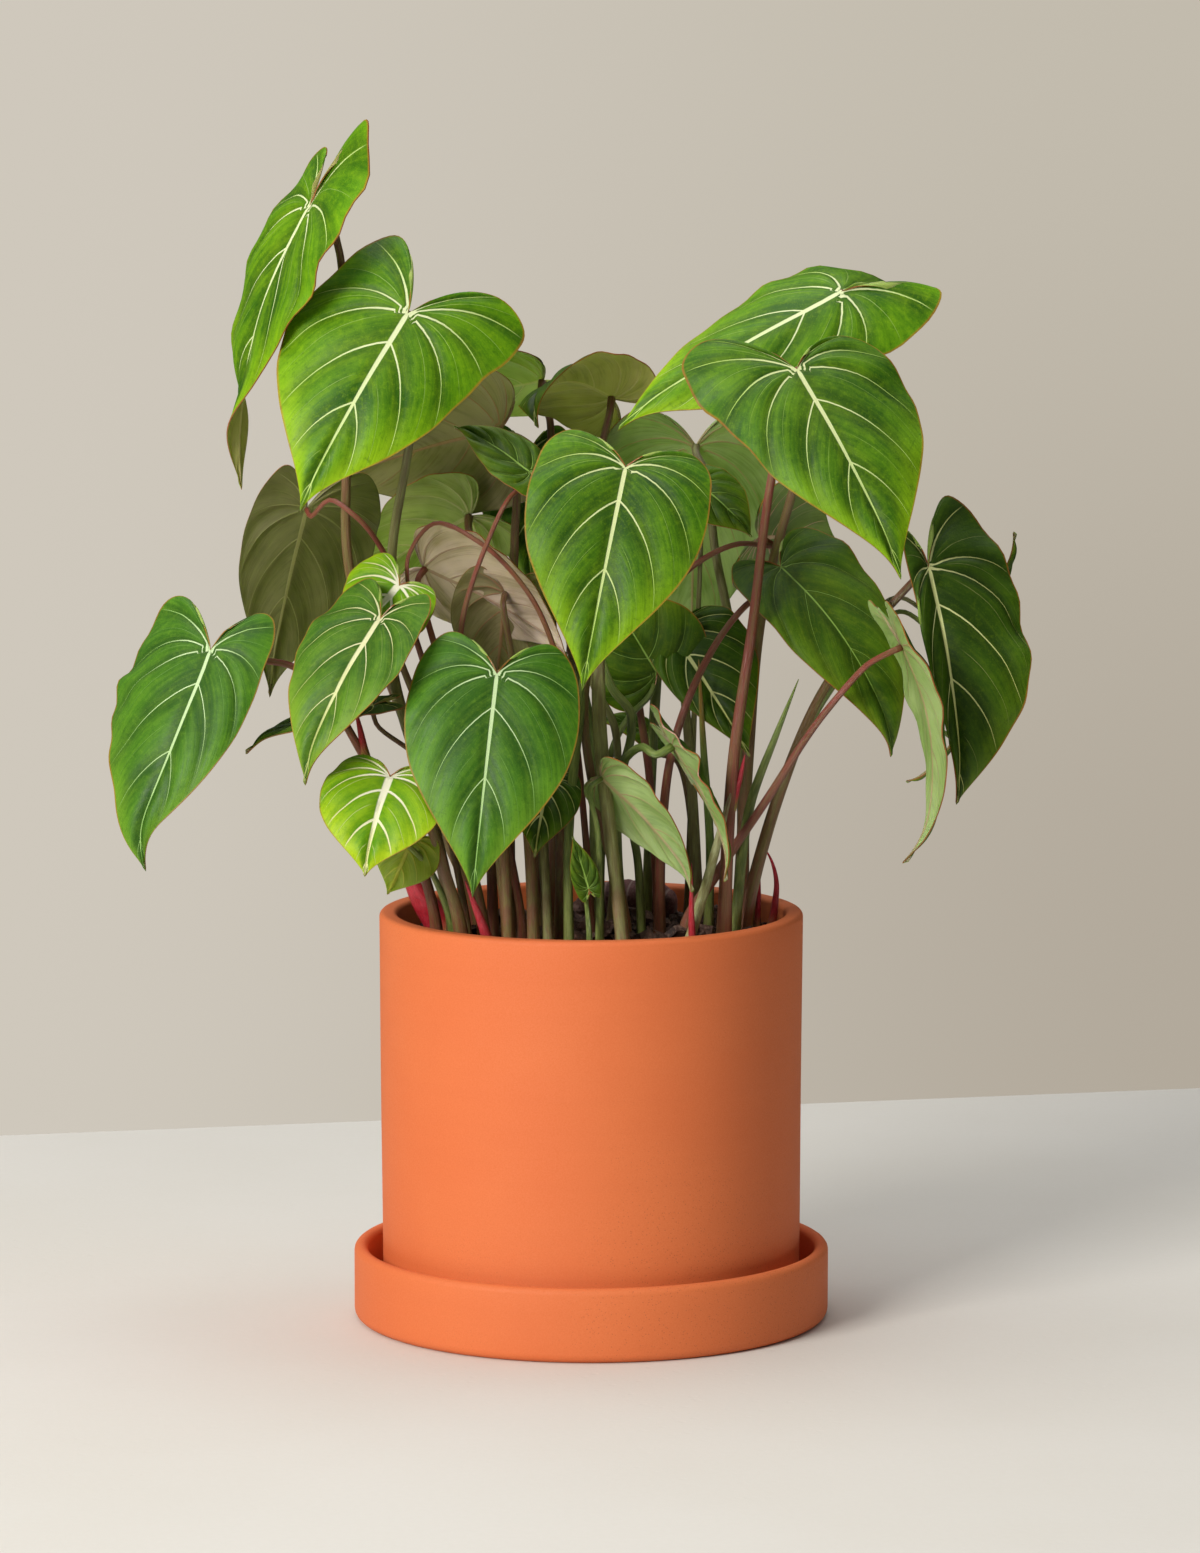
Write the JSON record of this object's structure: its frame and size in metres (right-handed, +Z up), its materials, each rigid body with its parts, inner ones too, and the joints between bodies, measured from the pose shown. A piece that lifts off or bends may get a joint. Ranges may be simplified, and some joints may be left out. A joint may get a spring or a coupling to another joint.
{
  "type": "potted plant",
  "caption": "Philodendron with heart-shaped, cream-veined leaves on long stalks, growing in a straight-sided terracotta pot that stands in a round saucer.",
  "frame": {"origin": "centre of the saucer's underside, where it rests on the surface", "axes": "+Z up, along the plant's height; the leaves spread mostly along X; -Y is the front, which the picture shows"},
  "size_m": [0.4269, 0.225, 0.5689],
  "materials": {
    "pot": "matte unglazed terracotta",
    "saucer": "matte unglazed terracotta",
    "soil": "rough dark bark mix",
    "leaf": "satin green with cream veins",
    "leaf_underside": "dull olive underside",
    "stalk": "smooth red-brown",
    "sheath": "glossy red",
    "rhizome": "ringed purple-brown"
  },
  "bodies": {
    "root": {"saucer": "saucer", "pot": "pot", "soil": "soil", "blade_01": "leaf", "stalk_01": "stalk", "blade_02": "leaf", "stalk_02": "stalk", "blade_03": "leaf", "stalk_03": "stalk", "blade_04": "leaf", "stalk_04": "stalk", "blade_05": "leaf", "stalk_05": "stalk", "blade_06": "leaf", "stalk_06": "stalk", "blade_07": "leaf", "stalk_07": "stalk", "blade_08": "leaf", "stalk_08": "stalk", "blade_09": "leaf", "stalk_09": "stalk", "blade_10": "leaf", "stalk_10": "stalk", "blade_11": "leaf", "stalk_11": "stalk", "blade_12": "leaf", "stalk_12": "stalk", "blade_13": "leaf", "stalk_13": "stalk", "blade_14": "leaf", "stalk_14": "stalk", "blade_15": "leaf_underside", "stalk_15": "stalk", "blade_16": "leaf_underside", "stalk_16": "stalk", "blade_17": "leaf", "stalk_17": "stalk", "blade_18": "leaf", "stalk_18": "stalk", "blade_19": "leaf_underside", "stalk_19": "stalk", "blade_20": "leaf_underside", "stalk_20": "stalk", "blade_21": "leaf_underside", "stalk_21": "stalk", "blade_22": "leaf", "stalk_22": "stalk", "blade_23": "leaf", "stalk_23": "stalk", "blade_25": "leaf", "stalk_25": "stalk", "blade_27": "leaf_underside", "stalk_27": "stalk", "blade_28": "leaf", "stalk_28": "stalk", "sheath_left": "sheath", "sheath_front": "sheath", "sheath_right": "sheath", "rhizome": "rhizome"}
  },
  "joints": []
}
